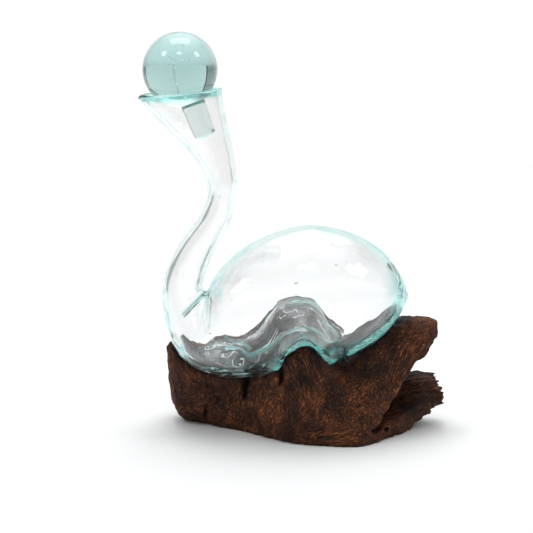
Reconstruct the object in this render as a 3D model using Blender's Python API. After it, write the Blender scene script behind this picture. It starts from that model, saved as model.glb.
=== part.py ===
"""Swan decanter: a blown glass vessel with a swan's neck, slumped over a hardwood root, and its ball stopper.

Blender 4.5, metres, +Z up. The swan's profile lies in the XZ plane: its head and pouring lip towards -X,
its tail towards +X. The origin is on the table, in the flat sawn underside of the root.
Outlines are written in millimetres and scaled by MM. Three pieces, which come apart on a bench:
  root_base     the root, with a seat that fits the glass and a split at its right end
  glass_vessel  body, breast, neck and mouth, blown in one piece
  ball_stopper  a solid ball with a tapered plug
"""
import math

import bmesh
import bpy
from mathutils import Vector, noise

MM = 0.001

# Driving dimensions, in mm.
BALL_CENTRE = (-98.4, 286.8)      # x, z
BALL_RADIUS = 29.0
PLUG_TIP_DISTANCE = 55.0          # from the ball's centre to the plug's flat end
PLUG_ROOT_RADIUS = 9.8
PLUG_TIP_RADIUS = 8.8
PLUG_EDGE = 1.2                    # bevel round the plug's flat end
STOPPER_TILT = math.radians(20.7)  # the neck leans, and the stopper with it
SEAT_GAP = 0.45                    # between glass and wood, sideways
SEAT_GAP_BELOW = 0.585             # and downwards, where their facets meet at a slant
FLOOR_WALL = 5.0                   # glass over the root's ridge
RIDGE_BLEND = 2.5                  # how softly the glass bends over the ridge
RIDGE_COVER = 2.0                  # wood above the ridge's line, before the seat is let in
RIDGE_FRONT_Y, RIDGE_BACK_Y = -40.0, 30.0

VESSEL_SEGMENTS = 28
RINGS_PER_STATION = 2
ROOT_SEGMENTS = 36
ROOT_RING_STEP = 5.0

# The vessel is a run of egg-shaped rings from the tail to the mouth. Each station gives the point where the
# ring meets the swan's back line and the point where it meets the front line, its half depth in Y, its lean
# (above 0 the ring is wider towards the front line) and the wall at the back line and at the front line.
# At the breast the rings fan round the crease between neck and body.
VESSEL_STATIONS = (
    # back x, back z, front x, front z, depth, lean, back wall, front wall
    (79.4, 112.8, 79.2, 105.5, 6.0, 0.0, 4.6, 4.6),
    (77.6, 119.3, 76.5, 99.5, 14.5, 0.0, 4.4, 4.6),
    (71.5, 130.3, 70.0, 89.5, 27.0, 0.0, 3.6, 4.6),
    (60.0, 144.3, 57.0, 75.0, 39.5, 0.0, 3.0, 4.6),
    (42.0, 156.1, 38.0, 63.5, 49.0, 0.0, 2.8, 4.6),
    (20.0, 163.3, 17.0, 55.5, 54.0, 0.0, 2.7, 4.6),
    (-4.0, 164.6, -8.0, 50.0, 55.0, 0.0, 2.7, 4.6),
    (-28.0, 158.0, -32.0, 46.2, 54.0, 0.0, 2.8, 4.6),
    (-50.0, 147.0, -52.0, 44.0, 51.5, -0.04, 2.9, 4.8),
    (-66.0, 133.0, -66.0, 44.2, 48.0, -0.10, 3.0, 4.8),
    (-75.0, 120.5, -78.0, 47.0, 43.5, -0.06, 3.1, 4.6),
    (-77.6, 114.4, -90.0, 52.5, 37.0, 0.10, 3.2, 4.2),
    (-79.2, 112.8, -101.0, 62.5, 30.5, 0.22, 3.2, 3.8),
    (-80.8, 114.0, -108.5, 77.0, 25.0, 0.20, 3.2, 3.5),
    (-81.4, 116.8, -112.8, 93.0, 21.0, 0.12, 3.2, 3.4),
    (-81.1, 120.0, -114.3, 108.0, 18.2, 0.05, 3.2, 3.4),
    (-80.3, 123.4, -112.6, 123.5, 16.6, 0.0, 3.3, 3.4),
    (-78.8, 129.4, -107.4, 136.6, 15.2, 0.0, 3.4, 3.4),
    (-74.6, 139.6, -100.0, 151.2, 14.2, 0.0, 3.5, 3.5),
    (-67.2, 153.2, -91.0, 163.6, 13.2, 0.0, 3.5, 3.6),
    (-59.8, 168.0, -82.4, 175.8, 12.4, 0.0, 3.5, 3.6),
    (-55.1, 184.0, -77.9, 188.0, 11.9, 0.0, 3.5, 3.6),
    (-54.4, 197.6, -78.6, 198.4, 12.3, 0.0, 3.4, 3.5),
    (-55.5, 210.4, -82.2, 209.4, 13.4, 0.0, 3.3, 3.4),
    (-57.5, 223.4, -89.8, 220.6, 15.4, 0.0, 3.2, 3.3),
    (-60.0, 236.4, -100.2, 231.8, 17.8, 0.0, 3.1, 3.1),
    (-62.6, 248.4, -111.0, 243.0, 20.2, 0.0, 3.0, 3.0),
    (-65.0, 260.2, -121.6, 254.0, 22.4, -0.04, 2.9, 2.9),
    (-66.6, 271.2, -130.4, 265.0, 26.0, -0.08, 2.8, 2.8),
)
# Where the wall bends over the rim: how far it stands above the last ring, as shares of the wall.
RIM_ROUND = ((0.14, 0.30), (0.50, 0.42), (0.86, 0.30))

# Height of the root's ridge under the glass, (x, z), along the front of the root and along its back.
RIDGE_FRONT = (
    (-70, 18), (-50, 24), (-34, 38), (-26, 48), (-21, 58), (-17, 68), (-11, 75), (-4, 78.5), (4, 75.5),
    (11, 67), (18, 57), (28, 38), (40, 22), (60, 10),
)
RIDGE_BACK = (
    (-108, 42), (-100, 51), (-91, 56), (-80, 58), (-66, 60), (-52, 61), (-43, 65), (-35, 73), (-29, 83),
    (-24, 91), (-17, 93), (-5, 94.5), (7, 92), (14, 83), (19, 75), (30, 66), (44, 47), (70, 20),
)

# The root lies along X. Each station gives where its section starts and ends in Y (at the foot and at the
# top of its front face, and at its back) and in Z (underside and natural top, before the seat is let in).
ROOT_STATIONS = (
    # x, front foot y, front top y, back y, underside z, top z
    (-110.6, 14.0, 2.0, 34.0, 40.0, 68.0),
    (-108.0, 11.0, -6.0, 44.0, 20.0, 73.0),
    (-102.0, 12.0, -11.0, 52.0, 5.0, 72.5),
    (-90.0, 14.0, -13.0, 57.0, -3.0, 67.0),
    (-74.0, 8.0, -13.0, 60.0, -9.0, 64.0),
    (-58.0, -4.0, -13.0, 61.0, -14.0, 62.0),
    (-44.0, -17.0, -18.0, 62.0, -14.0, 61.0),
    (-30.0, -31.0, -31.0, 62.0, -14.0, 60.0),
    (-14.0, -44.0, -39.0, 62.0, -14.0, 60.0),
    (4.0, -55.0, -41.0, 62.0, -14.0, 60.0),
    (22.0, -62.0, -26.0, 61.0, -14.0, 62.0),
    (36.0, -67.0, -15.0, 58.0, -14.0, 68.0),
    (46.0, -63.0, -14.0, 55.0, -14.0, 77.0),
    (56.0, -50.0, -14.0, 51.0, -12.0, 86.5),
    (68.0, -34.0, -16.0, 47.0, -7.0, 93.5),
    (80.0, -19.0, -20.0, 44.0, -2.0, 96.0),
    (92.0, -8.0, -24.0, 41.0, 5.0, 95.5),
    (100.0, -3.0, -18.0, 39.0, 10.0, 93.5),
    (103.6, 0.0, -12.0, 38.0, 13.0, 88.0),
    (105.6, 2.0, -2.0, 37.0, 16.0, 52.0),
    (110.0, 4.0, 1.0, 30.0, 19.0, 34.0),
    (112.6, 8.0, 6.0, 20.0, 21.0, 28.0),
)
SECTION_POWER = 3.4   # 2 is an ellipse, and more is squarer
BACK_FALL = 0.2       # the natural top slopes down towards the back
RIDGE_FROM = 0.125    # how far up a section the ridge starts to show, from 0 at mid-height to 1 at the top
RIDGE_FADE = 0.625    # and over how much of it the ridge comes in
LUMP_HEIGHT = 2.2     # the root's bulges
LUMP_SIZE = 26.0
LUMP_SHIFTS = (11.3, 27.6, 43.9)       # where the bulges across, to the front and up read the noise

# The split at the root's right end: the underside of the upper jaw, and the inside of the lower jaw along
# its front lip and its back rim, as (x, z).
SPLIT_ROOF = (
    (47, 4.5), (51, 9.5), (57, 17), (65, 28), (72.5, 39), (80, 51), (86, 59), (96, 65.5), (99, 72),
    (104, 77), (125, 84),
)
SPLIT_LIP = ((47, 4.0), (56, 10), (70, 14), (90, 18), (105, 23), (125, 27))
SPLIT_RIM = ((47, 4.2), (56, 14), (66, 26), (76, 35), (90, 38), (125, 39))
SPLIT_LIP_Y, SPLIT_RIM_Y = -45.0, 34.0
SPLIT_CURL = 1.4                   # above 1, the lower jaw rises late towards its rim
SPLIT_OPEN = 0.4                   # least height of the split, at its root
SPLIT_CUT_Y = (-80.0, 90.0)        # how far the cut runs, through the front and the back
SPLIT_STEPS = 12


def spline(points, t):
    """The Catmull-Rom curve through a row of points, at t from 0 to 1 along the row."""
    last = len(points) - 1
    at = min(max(t, 0.0), 1.0) * last
    i = min(int(at), last - 1)
    u = at - i
    before, a, b, after = (points[min(max(i + k, 0), last)] for k in (-1, 0, 1, 2))
    return tuple(
        0.5 * (2 * q + (r - p) * u + (2 * p - 5 * q + 4 * r - s) * u * u + (3 * q - p - 3 * r + s) * u ** 3)
        for p, q, r, s in zip(before, a, b, after)
    )


def profile(points, x):
    """The height at x on a smooth line through (x, z) points, level beyond its ends."""
    if x <= points[0][0]:
        return points[0][1]
    if x >= points[-1][0]:
        return points[-1][1]
    i = max(k for k in range(len(points) - 1) if points[k][0] <= x)
    (x0, z0), (x1, z1) = points[i], points[i + 1]
    before, after = points[max(i - 1, 0)], points[min(i + 2, len(points) - 1)]
    width = x1 - x0
    slope0 = (z1 - before[1]) / (x1 - before[0]) * width
    slope1 = (after[1] - z0) / (after[0] - x0) * width
    t = (x - x0) / width
    return (
        z0 * (1 + 2 * t) * (1 - t) ** 2 + z1 * t * t * (3 - 2 * t)
        + slope0 * t * (1 - t) ** 2 + slope1 * t * t * (t - 1)
    )


def smooth_step(t):
    t = min(max(t, 0.0), 1.0)
    return t * t * (3 - 2 * t)


def smooth_max(a, b, blend):
    """The larger of a and b, with a fillet where they are near each other."""
    h = max(blend - abs(a - b), 0.0) / blend
    return max(a, b) + h * h * blend / 4


def ridge(x, y):
    """Height of the root's ridge under the glass, in mm."""
    share = smooth_step((y - RIDGE_FRONT_Y) / (RIDGE_BACK_Y - RIDGE_FRONT_Y))
    front, back = profile(RIDGE_FRONT, x), profile(RIDGE_BACK, x)
    return front + (back - front) * share


def new_object(name, vertices, faces, material, smooth_angle=None):
    """A mesh object from points in mm. Its faces are turned to point out."""
    mesh = bpy.data.meshes.new(name)
    mesh.from_pydata([[c * MM for c in v] for v in vertices], [], faces)
    bm = bmesh.new()
    bm.from_mesh(mesh)
    bmesh.ops.recalc_face_normals(bm, faces=bm.faces)
    bm.to_mesh(mesh)
    bm.free()
    if smooth_angle:
        mesh.shade_smooth()
        mesh.set_sharp_from_angle(angle=smooth_angle)
    if material:
        mesh.materials.append(material)
    obj = bpy.data.objects.new(name, mesh)
    bpy.context.scene.collection.objects.link(obj)
    return obj


def make_material(name, colour, roughness, transmission=0.0):
    material = bpy.data.materials.new(name)
    material.use_nodes = True
    shader = material.node_tree.nodes["Principled BSDF"]
    shader.inputs["Base Color"].default_value = (*colour, 1.0)
    shader.inputs["Roughness"].default_value = roughness
    shader.inputs["Metallic"].default_value = 0.0
    shader.inputs["Transmission Weight"].default_value = transmission
    shader.inputs["IOR"].default_value = 1.5
    return material


def tube_faces(rings, segments):
    """Triangles between successive rings of points. Two tubes with the same rings have the same facets."""
    faces = []
    for r in range(rings - 1):
        for s in range(segments):
            a, b = r * segments + s, r * segments + (s + 1) % segments
            faces += [(a, b, b + segments), (a, b + segments, a + segments)]
    return faces


# ---- glass vessel ----

def vessel_ring(t, segments):
    """One free-blown ring, before it meets the root: its points, and the wall at each."""
    back_x, back_z, front_x, front_z, depth, lean, back_wall, front_wall = spline(VESSEL_STATIONS, t)
    points, walls = [], []
    for s in range(segments):
        angle = 2 * math.pi * s / segments
        along = -math.cos(angle)
        share = (along + 1) / 2
        points.append(Vector((
            back_x + (front_x - back_x) * share,
            depth * math.sin(angle) * (1 + lean * along),
            back_z + (front_z - back_z) * share,
        )))
        walls.append(back_wall + (front_wall - back_wall) * share)
    return points, walls


def outward_normals(rings):
    """The surface's outward direction at each point of a grid of rings."""
    normals = []
    for r, ring in enumerate(rings):
        before, after = rings[max(r - 1, 0)], rings[min(r + 1, len(rings) - 1)]
        centre = sum(ring, Vector()) / len(ring)
        row = []
        for s, point in enumerate(ring):
            along = after[s] - before[s]
            around = ring[(s + 1) % len(ring)] - ring[s - 1]
            normal = along.cross(around).normalized()
            if normal.dot(point - centre) < 0:
                normal.negate()
            row.append(normal)
        normals.append(row)
    return normals


def settle(point, lift):
    """A point of the glass after it has slumped over the ridge; lift is the glass under it."""
    height = smooth_max(point.z, ridge(point.x, point.y) + lift, RIDGE_BLEND)
    return Vector((point.x, point.y, height))


def vessel_grids(ring_count, segments):
    """The rings of the outside and of the inside of the vessel."""
    free, walls = [], []
    for r in range(ring_count):
        points, wall = vessel_ring(r / (ring_count - 1), segments)
        free.append(points)
        walls.append(wall)
    normals = outward_normals(free)
    outside = [[settle(p, 0.0) for p in ring] for ring in free]
    inside = [
        [settle(p - n * w, FLOOR_WALL) for p, n, w in zip(ring, row, wall)]
        for ring, row, wall in zip(free, normals, walls)
    ]
    return outside, inside


def rim_rings(outer, inner):
    """Rings that carry the wall over the rim, from the outside to the inside."""
    up = Vector((0, 0, 1))
    return [
        [a.lerp(b, across) + up * (a - b).length * height for a, b in zip(outer, inner)]
        for across, height in RIM_ROUND
    ]


def glass_vessel(material):
    ring_count = (len(VESSEL_STATIONS) - 1) * RINGS_PER_STATION + 1
    outside, inside = vessel_grids(ring_count, VESSEL_SEGMENTS)
    tail_skip = 1
    inside = inside[tail_skip:]
    rings = outside + rim_rings(outside[-1], inside[-1]) + inside[::-1]
    points = [p for ring in rings for p in ring]
    faces = tube_faces(len(rings), VESSEL_SEGMENTS)
    last = len(points) - VESSEL_SEGMENTS
    faces += [tuple(range(VESSEL_SEGMENTS)), tuple(range(last, len(points)))]
    return new_object("glass_vessel", points, faces, material, math.radians(50))


def vessel_cutter():
    """The outside of the vessel, grown by the seat's gap, as a closed solid."""
    ring_count = (len(VESSEL_STATIONS) - 1) * RINGS_PER_STATION + 1
    free = [vessel_ring(r / (ring_count - 1), VESSEL_SEGMENTS)[0] for r in range(ring_count)]
    normals = outward_normals(free)
    grown = []
    for ring, row in zip(free, normals):
        gaps = [Vector((n.x * SEAT_GAP, n.y * SEAT_GAP, -SEAT_GAP_BELOW)) for n in row]
        grown.append([settle(p, 0.0) + gap for p, gap in zip(ring, gaps)])
    points = [p for ring in grown for p in ring]
    faces = tube_faces(len(grown), VESSEL_SEGMENTS)
    faces += [tuple(range(VESSEL_SEGMENTS)), tuple(range(len(points) - VESSEL_SEGMENTS, len(points)))]
    return helper("vessel_cutter", points, faces)


def helper(name, points, faces):
    """A cutter, which isn't a piece of the object."""
    obj = new_object(name, points, faces, None)
    obj.hide_render = True
    obj.display_type = "WIRE"
    return obj


# ---- root ----

def root_ring(station, segments):
    """One section of the root, a rounded block clamped to its flat underside and its natural top."""
    x, foot_y, top_y, back_y, low, high = station
    middle_z, half_z = (low + high) / 2, (high - low) / 2
    points = []
    for s in range(segments):
        angle = 2 * math.pi * s / segments
        across, up = math.cos(angle), math.sin(angle)
        size = (abs(across) ** SECTION_POWER + abs(up) ** SECTION_POWER) ** (-1 / SECTION_POWER)
        across, up = across * size, up * size
        front_y = foot_y + (top_y - foot_y) * (up + 1) / 2
        y = (front_y + back_y) / 2 + across * (back_y - front_y) / 2
        z = middle_z + up * half_z
        if up > 0:
            z -= max(y - front_y, 0.0) * BACK_FALL * up
            z += max(ridge(x, y) + RIDGE_COVER - z, 0.0) * smooth_step((up - RIDGE_FROM) / RIDGE_FADE)
        points.append(Vector((x, y, z)))
    return points


def weathered(point):
    """A point of the root moved by its bulges and hollows. The flat underside stays flat."""
    place = point / LUMP_SIZE
    sideways, forward, upward = (noise.noise(place + Vector((shift, shift, 0))) for shift in LUMP_SHIFTS)
    moved = point + Vector((sideways * 0.4, forward, upward * 0.6)) * LUMP_HEIGHT
    moved.z = max(moved.z, 0.0)
    return moved


def root_block(material):
    first, last = ROOT_STATIONS[0][0], ROOT_STATIONS[-1][0]
    steps = round((last - first) / ROOT_RING_STEP)
    count = max(steps, len(ROOT_STATIONS) * 2)
    rings = [
        [weathered(p) for p in root_ring(spline(ROOT_STATIONS, r / count), ROOT_SEGMENTS)]
        for r in range(count + 1)
    ]
    points = [p for ring in rings for p in ring]
    faces = tube_faces(len(rings), ROOT_SEGMENTS)
    faces += [tuple(range(ROOT_SEGMENTS)), tuple(range(len(points) - ROOT_SEGMENTS, len(points)))]
    return new_object("root_base", points, faces, material, math.radians(40))


def split_floor(x, y):
    """Height of the lower jaw's inside."""
    share = smooth_step((y - SPLIT_LIP_Y) / (SPLIT_RIM_Y - SPLIT_LIP_Y)) ** SPLIT_CURL
    lip, rim = profile(SPLIT_LIP, x), profile(SPLIT_RIM, x)
    return lip + (rim - lip) * share


def split_cutter():
    """The space between the two jaws at the root's right end, open to the front, the right and the back."""
    x0, x1 = SPLIT_ROOF[0][0], SPLIT_ROOF[-1][0]
    y0, y1 = SPLIT_CUT_Y
    columns = SPLIT_STEPS + 1
    floor, roof = [], []
    for i in range(columns):
        x = x0 + (x1 - x0) * i / SPLIT_STEPS
        for j in range(columns):
            y = y0 + (y1 - y0) * j / SPLIT_STEPS
            low = split_floor(x, y)
            floor.append((x, y, low))
            roof.append((x, y, max(profile(SPLIT_ROOF, x), low + SPLIT_OPEN)))
    faces = []
    shift = columns * columns
    for i in range(SPLIT_STEPS):
        for j in range(SPLIT_STEPS):
            a, b = i * columns + j, (i + 1) * columns + j
            faces.append((a, b, b + 1, a + 1))
            faces.append((a + shift, a + 1 + shift, b + 1 + shift, b + shift))
    edge = [i * columns for i in range(columns)]
    edge += [SPLIT_STEPS * columns + j for j in range(1, columns)]
    edge += [i * columns + SPLIT_STEPS for i in range(SPLIT_STEPS - 1, -1, -1)]
    edge += list(range(SPLIT_STEPS - 1, 0, -1))
    for a, b in zip(edge, edge[1:] + edge[:1]):
        faces.append((a, b, b + shift, a + shift))
    return helper("split_cutter", floor + roof, faces)


def cut(obj, cutter):
    boolean = obj.modifiers.new(cutter.name, "BOOLEAN")
    boolean.operation = "DIFFERENCE"
    boolean.solver = "EXACT"
    boolean.object = cutter


def root_base(material):
    obj = root_block(material)
    cut(obj, vessel_cutter())
    cut(obj, split_cutter())
    return obj


# ---- stopper ----

def ball_stopper(material):
    """The ball and its plug, turned round the stopper's axis. Its origin is the ball's centre."""
    neck_angle = math.asin(PLUG_ROOT_RADIUS / BALL_RADIUS)
    arc_steps = 14
    outline = [(0.0, BALL_RADIUS)]
    for i in range(1, arc_steps + 1):
        angle = (math.pi - neck_angle) * i / arc_steps
        outline.append((BALL_RADIUS * math.sin(angle), BALL_RADIUS * math.cos(angle)))
    outline += [
        (PLUG_TIP_RADIUS, PLUG_EDGE - PLUG_TIP_DISTANCE),
        (PLUG_TIP_RADIUS - PLUG_EDGE, -PLUG_TIP_DISTANCE),
        (0.0, -PLUG_TIP_DISTANCE),
    ]
    bm = bmesh.new()
    verts = [bm.verts.new((r * MM, 0, z * MM)) for r, z in outline]
    edges = [bm.edges.new(pair) for pair in zip(verts, verts[1:])]
    bmesh.ops.spin(bm, geom=verts + edges, axis=(0, 0, 1), cent=(0, 0, 0), steps=32, angle=2 * math.pi)
    bmesh.ops.remove_doubles(bm, verts=bm.verts, dist=1e-6)
    bmesh.ops.recalc_face_normals(bm, faces=bm.faces)
    mesh = bpy.data.meshes.new("ball_stopper")
    bm.to_mesh(mesh)
    bm.free()
    mesh.shade_smooth()
    mesh.set_sharp_from_angle(angle=math.radians(40))
    mesh.materials.append(material)
    obj = bpy.data.objects.new("ball_stopper", mesh)
    obj.location = (BALL_CENTRE[0] * MM, 0, BALL_CENTRE[1] * MM)
    obj.rotation_euler = (0, -STOPPER_TILT, 0)
    bpy.context.scene.collection.objects.link(obj)
    return obj


def main():
    for obj in list(bpy.data.objects):
        bpy.data.objects.remove(obj, do_unlink=True)
    glass = make_material("clear_glass", (0.86, 0.95, 0.94), 0.03, transmission=1.0)
    stopper_glass = make_material("tinted_glass", (0.70, 0.86, 0.85), 0.03, transmission=1.0)
    wood = make_material("root_wood", (0.115, 0.052, 0.026), 0.65)
    glass_vessel(glass)
    ball_stopper(stopper_glass)
    root_base(wood)


main()
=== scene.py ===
"""The swan decanter's looks: blown glass, a charred seat and a fibrous root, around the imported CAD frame."""
import math

import bmesh
import bpy
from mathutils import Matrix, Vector, noise
from mathutils.bvhtree import BVHTree


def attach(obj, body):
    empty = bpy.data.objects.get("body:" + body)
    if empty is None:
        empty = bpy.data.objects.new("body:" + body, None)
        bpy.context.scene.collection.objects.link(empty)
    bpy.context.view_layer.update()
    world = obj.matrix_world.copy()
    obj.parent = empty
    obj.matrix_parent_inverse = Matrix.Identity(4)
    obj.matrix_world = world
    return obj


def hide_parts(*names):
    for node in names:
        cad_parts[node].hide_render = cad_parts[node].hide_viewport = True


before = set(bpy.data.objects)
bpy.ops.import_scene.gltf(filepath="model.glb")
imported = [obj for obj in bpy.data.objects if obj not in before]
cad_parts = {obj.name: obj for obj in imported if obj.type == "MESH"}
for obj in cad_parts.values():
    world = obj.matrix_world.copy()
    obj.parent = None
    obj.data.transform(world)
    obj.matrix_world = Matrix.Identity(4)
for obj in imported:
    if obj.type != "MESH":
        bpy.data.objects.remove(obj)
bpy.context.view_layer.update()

MM = 0.001

# ---- outlines, in mm, as in the CAD model ----

# The vessel is a run of egg-shaped rings from the tail to the mouth.
VESSEL_STATIONS = (
    # back x, back z, front x, front z, half depth, lean, back wall, front wall
    (79.4, 112.8, 79.2, 105.5, 6.0, 0.0, 4.6, 4.6),
    (77.6, 119.3, 76.5, 99.5, 14.5, 0.0, 4.4, 4.6),
    (71.5, 130.3, 70.0, 89.5, 27.0, 0.0, 3.6, 4.6),
    (60.0, 144.3, 57.0, 75.0, 39.5, 0.0, 3.0, 4.6),
    (42.0, 156.1, 38.0, 63.5, 49.0, 0.0, 2.8, 4.6),
    (20.0, 163.3, 17.0, 55.5, 54.0, 0.0, 2.7, 4.6),
    (-4.0, 164.6, -8.0, 50.0, 55.0, 0.0, 2.7, 4.6),
    (-28.0, 158.0, -32.0, 46.2, 54.0, 0.0, 2.8, 4.6),
    (-50.0, 147.0, -52.0, 44.0, 51.5, -0.04, 2.9, 4.8),
    (-66.0, 133.0, -66.0, 44.2, 48.0, -0.10, 3.0, 4.8),
    (-75.0, 120.5, -78.0, 47.0, 43.5, -0.06, 3.1, 4.6),
    (-77.6, 114.4, -90.0, 52.5, 37.0, 0.10, 3.2, 4.2),
    (-79.2, 112.8, -101.0, 62.5, 30.5, 0.22, 3.2, 3.8),
    (-80.8, 114.0, -108.5, 77.0, 25.0, 0.20, 3.2, 3.5),
    (-81.4, 116.8, -112.8, 93.0, 21.0, 0.12, 3.2, 3.4),
    (-81.1, 120.0, -114.3, 108.0, 18.2, 0.05, 3.2, 3.4),
    (-80.3, 123.4, -112.6, 123.5, 16.6, 0.0, 3.3, 3.4),
    (-78.8, 129.4, -107.4, 136.6, 15.2, 0.0, 3.4, 3.4),
    (-74.6, 139.6, -100.0, 151.2, 14.2, 0.0, 3.5, 3.5),
    (-67.2, 153.2, -91.0, 163.6, 13.2, 0.0, 3.5, 3.6),
    (-59.8, 168.0, -82.4, 175.8, 12.4, 0.0, 3.5, 3.6),
    (-55.1, 184.0, -77.9, 188.0, 11.9, 0.0, 3.5, 3.6),
    (-54.4, 197.6, -78.6, 198.4, 12.3, 0.0, 3.4, 3.5),
    (-55.5, 210.4, -82.2, 209.4, 13.4, 0.0, 3.3, 3.4),
    (-57.5, 223.4, -89.8, 220.6, 15.4, 0.0, 3.2, 3.3),
    (-60.0, 236.4, -100.2, 231.8, 17.8, 0.0, 3.1, 3.1),
    (-62.6, 248.4, -111.0, 243.0, 20.2, 0.0, 3.0, 3.0),
    (-65.0, 260.2, -121.6, 254.0, 22.4, -0.04, 2.9, 2.9),
    (-66.6, 271.2, -130.4, 265.0, 26.0, -0.08, 2.8, 2.8),
)

# The root's ridge under the glass, as (x, z) along the front of the root and along its back.
RIDGE_FRONT = (
    (-70, 18), (-50, 24), (-34, 38), (-26, 48), (-21, 58), (-17, 68), (-11, 75), (-4, 78.5), (4, 75.5),
    (11, 67), (18, 57), (28, 38), (40, 22), (60, 10),
)
RIDGE_BACK = (
    (-108, 42), (-100, 51), (-91, 56), (-80, 58), (-66, 60), (-52, 61), (-43, 65), (-35, 73), (-29, 83),
    (-24, 91), (-17, 93), (-5, 94.5), (7, 92), (14, 83), (19, 75), (30, 66), (44, 47), (70, 20),
)
RIDGE_FRONT_Y, RIDGE_BACK_Y = -40.0, 30.0
RIDGE_BLEND = 2.5  # how softly the glass bends over the ridge
# The floor's glass over the root: at the back, at the front, and the y and width of the change between.
FLOOR_WALL_BACK, FLOOR_WALL_FRONT = 3.0, 5.0
FLOOR_WALL_Y, FLOOR_WALL_CHANGE = 4.0, 32.0
# Glass that lies this far above the root starts to bed down on it, and is bedded this much lower.
BED_FROM, BED_RANGE = 4.0, 6.0
# The blown wall is thicker and thinner in waves: how long and how high each kind is.
WALL_WAVES = ((19.0, 0.45), (8.0, 0.12))
RIM_BEAD = 0.8
RIM_CROWN = 0.45  # how high the rim is rounded, of the wall

BALL_CENTRE = Vector((-98.4, 0.0, 286.8))
BALL_RADIUS = 29.0
PLUG_TIP_DISTANCE = 55.0
PLUG_ROOT_RADIUS, PLUG_TIP_RADIUS = 9.8, 8.8
PLUG_EDGE = 1.5  # bevel round the plug's flat end
EDGE_HOLD = 0.08  # loops this close to the bevel keep it crisp
STOPPER_TILT = math.radians(20.7)
# The bevel is painted milky and green: a painted highlight for the bright line that total reflection gives its
# edge.
BEVEL_HIGHLIGHT_CLOUD, BEVEL_HIGHLIGHT_TINT = 0.6, 0.6

# Thick drops of glass on the root's front edge: the centre, how wide and how far drawn out.
DRIPS = (((-23, -37, 57), 6.5, 5.0), ((17, -30, 61), 9.0, 4.8), ((-10, -44, 76), 5.0, 1.5))
# Where the glass has pooled along the root's front edge, as (x, z), and how wide at the line's two ends.
POOL_LINE = (
    (-24, 57), (-20, 63), (-13, 74), (-4, 79.5), (6, 77), (13, 67), (19, 61.5), (30, 68), (48, 76),
    (61, 86), (71, 98),
)
POOL_WIDTH_LEFT, POOL_WIDTH_RIGHT = 7.0, 3.0
POOL_CLOUD = 0.7
# Curled threads of trapped air in the floor: x and y of the middle, how far they reach, and turns.
THREADS = (
    (-76, 24, 4.6, 1.7), (-69, 23, 4.4, 2.3), (-61, 21, 3.0, 1.5), (-63, 11, 3.4, 1.6), (-54, 6, 3.0, 1.2),
    (-34, 2, 4.4, 2.4), (-28, -1, 4.6, 1.8), (-23, -5, 3.2, 1.5), (-18, 8, 2.8, 1.3), (-11, 14, 4.0, 1.5),
    (-7, 3, 3.2, 1.3), (-10, -12, 4.2, 1.0), (1, -15, 4.0, 1.0), (6, 16, 3.4, 1.3), (12, 4, 3.0, 1.1),
)
# The threads' radius and depth below the floor, and how milky white they are painted: a painted glint for the
# total reflection in trapped air.
THREAD_RADIUS, THREAD_DEPTH, THREAD_PAINTED_GLINT = 0.36, 0.9, 0.95
THREAD_DRIFT = 2.6  # how far a thread's two ends lie apart, of its reach
THREAD_STRAY = 0.75  # how far a thread strays from an even curl, of its reach
THREAD_CLIMB = 18.0  # the floor is looked for below this height over the root
# Painted glow: trapped air and the plug's sharp bevel are made to glow faintly, standing in for the light that
# total reflection gathers in them, which few light paths find.
THREAD_PAINTED_GLOW, BEVEL_PAINTED_GLOW = 0.42, 0.45
PAINTED_GLOW_COLOUR = (0.80, 1.0, 1.0)
# Long folds standing in the floor: the line of each in x and y, its half width and its height.
FLOOR_FOLDS = (
    (((-68, 14), (-64, 18), (-54, 17), (-48, 8), (-42, 3), (-36, 1), (-26, -10), (-20, -13),
      (-12, -18), (-2, -23), (6, -17), (15, -8), (26, 10), (36, 16)), 2.0, 1.8),
    (((-15, 32), (-4, 33), (6, 31), (13, 28), (20, 29)), 2.8, 1.6),
    (((-68, 36), (-58, 32), (-50, 23), (-43, 8)), 1.6, 1.4),
)
FOLDS_BELOW = 112.0  # the floor lies below this height
FLOOR_MARGIN = 6.0  # and no further above its own glass than this
# The fold between neck and breast, as (x, z).
FOLD_LINE = ((-78, 114), (-83, 110), (-90, 104.5), (-96, 98.5))
FOLD_DEPTH, FOLD_HALF_WIDTH = 2.8, 1.4

# Wrinkles of the bedded glass: the cells across, in depth and upwards, their height, and finer ones.
WRINKLE_CELL, WRINKLE_HEIGHT = (11.0, 24.0, 11.0), 1.2
CRINKLE_CELL, CRINKLE_HEIGHT = 4.2, 0.45
LOW_GLASS, LOW_RANGE, LOW_SHARE = 70.0, 10.0, 0.25  # glass below this is a little wrinkled anywhere

GLASS_IOR = 1.5
# Light absorbed inside the glass: what is left of each colour, and how strongly.
VESSEL_ABSORPTION, VESSEL_DENSITY = (0.0, 0.58, 0.55), 11.0
STOPPER_ABSORPTION, STOPPER_DENSITY = (0.0, 0.50, 0.46), 15.0
CLEAR_TINT, POOLED_TINT = (0.977, 0.963, 0.963), (0.18, 0.70, 0.64)
FOLD_CLOUD, DRIP_CLOUD = 0.65, 0.4
RIM_TINT, RIM_TINT_RINGS = 0.6, 6
TAIL_TINT, TAIL_X, TAIL_RANGE = 0.35, 62.0, 16.0
STREAK_CELL = (6.0, 6.0, 1.8)  # the pooled glass is streaked in flat cells
# How far a surface turns away from sight before its edge starts to look green, and where it is full.
EDGE_FROM, EDGE_TO = 0.58, 0.86
# How green such an edge is at the front, how much more towards the tail, and how much less in the seat.
EDGE_GREEN, EDGE_TAIL_MORE, EDGE_SEAT_LESS = 0.72, 0.25, 0.85
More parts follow.
